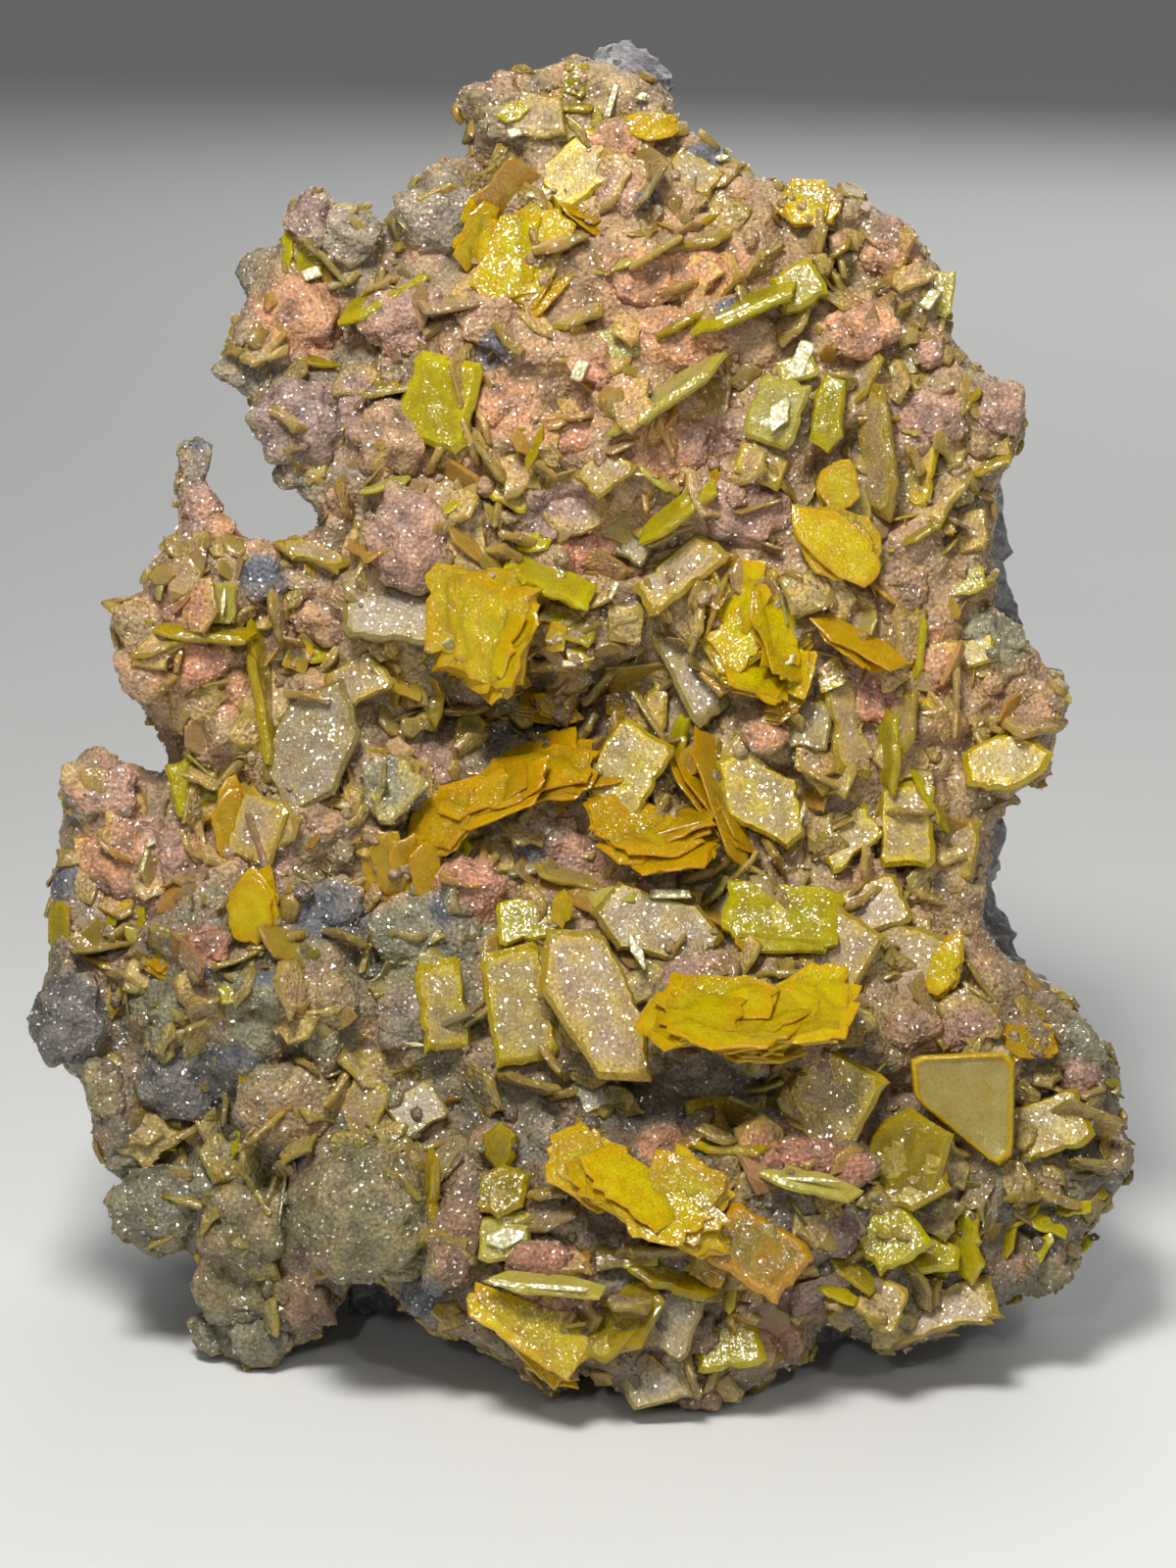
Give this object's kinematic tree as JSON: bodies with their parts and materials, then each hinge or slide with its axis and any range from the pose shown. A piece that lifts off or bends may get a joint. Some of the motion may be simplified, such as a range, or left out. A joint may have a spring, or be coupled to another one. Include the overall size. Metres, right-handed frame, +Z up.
{
  "type": "wulfenite specimen",
  "caption": "Mineral specimen that stands on a flat underside: yellow tabular wulfenite crystals on a knobbly mimetite crust over grey host rock.",
  "frame": {"origin": "middle of the flat underside that the specimen rests on", "axes": "+X to the right as seen from the crystal-covered front, +Y towards the bare rock back, +Z up"},
  "size_m": [0.1142, 0.0775, 0.1316],
  "materials": {
    "host_rock": "rough broken grey rock with a faint metallic sheen",
    "mimetite": "drusy, from orange-brown through purple-grey to olive",
    "wulfenite": "adamantine yellow to orange-yellow, partly frosted by fine druse"
  },
  "bodies": {
    "root": {"host_rock": "host_rock", "mimetite_crust": "mimetite", "wulfenite_bright_rectangle": "wulfenite", "wulfenite_brown_plate": "wulfenite", "wulfenite_centre_druse_plate": "wulfenite", "wulfenite_centre_spray": "wulfenite", "wulfenite_centre_tan_plate": "wulfenite", "wulfenite_centre_thin_blade": "wulfenite", "wulfenite_curved_spray": "wulfenite", "wulfenite_far_right_plate": "wulfenite", "wulfenite_front_blade": "wulfenite", "wulfenite_front_fan": "wulfenite", "wulfenite_front_right_plate": "wulfenite", "wulfenite_green_top_plate": "wulfenite", "wulfenite_hexagonal_plate": "wulfenite", "wulfenite_large_yellow_plate": "wulfenite", "wulfenite_left_bumpy_plate": "wulfenite", "wulfenite_left_centre_plate": "wulfenite", "wulfenite_left_grey_plate": "wulfenite", "wulfenite_left_point": "wulfenite", "wulfenite_left_ridge_blades": "wulfenite", "wulfenite_left_small_plate": "wulfenite", "wulfenite_left_tall_plate": "wulfenite", "wulfenite_left_tan_plate": "wulfenite", "wulfenite_lower_right_plates": "wulfenite", "wulfenite_lower_spray": "wulfenite", "wulfenite_olive_fan": "wulfenite", "wulfenite_pale_blade": "wulfenite", "wulfenite_pale_green_blade": "wulfenite", "wulfenite_right_blade": "wulfenite", "wulfenite_right_diagonal_blade": "wulfenite", "wulfenite_right_druse_plate": "wulfenite", "wulfenite_right_green_plate": "wulfenite", "wulfenite_right_rounded_plate": "wulfenite", "wulfenite_right_thin_blade": "wulfenite", "wulfenite_right_yellow_plate": "wulfenite", "wulfenite_rosette": "wulfenite", "wulfenite_serrated_plate": "wulfenite", "wulfenite_shoulder_blade": "wulfenite", "wulfenite_sparkling_plate": "wulfenite", "wulfenite_square_chunk": "wulfenite", "wulfenite_tall_blade": "wulfenite", "wulfenite_tan_plates": "wulfenite", "wulfenite_top_plate": "wulfenite", "wulfenite_triangle": "wulfenite", "wulfenite_twin_blades": "wulfenite", "wulfenite_upper_cluster": "wulfenite", "wulfenite_upper_column": "wulfenite", "wulfenite_upper_glint_plate": "wulfenite", "wulfenite_upper_left_plate": "wulfenite", "wulfenite_upper_long_blade": "wulfenite", "wulfenite_upper_right_plate": "wulfenite", "wulfenite_white_streak_blade": "wulfenite", "wulfenite_yellow_edge_plate": "wulfenite", "wulfenite_yellow_rim_plate": "wulfenite"}
  },
  "joints": []
}
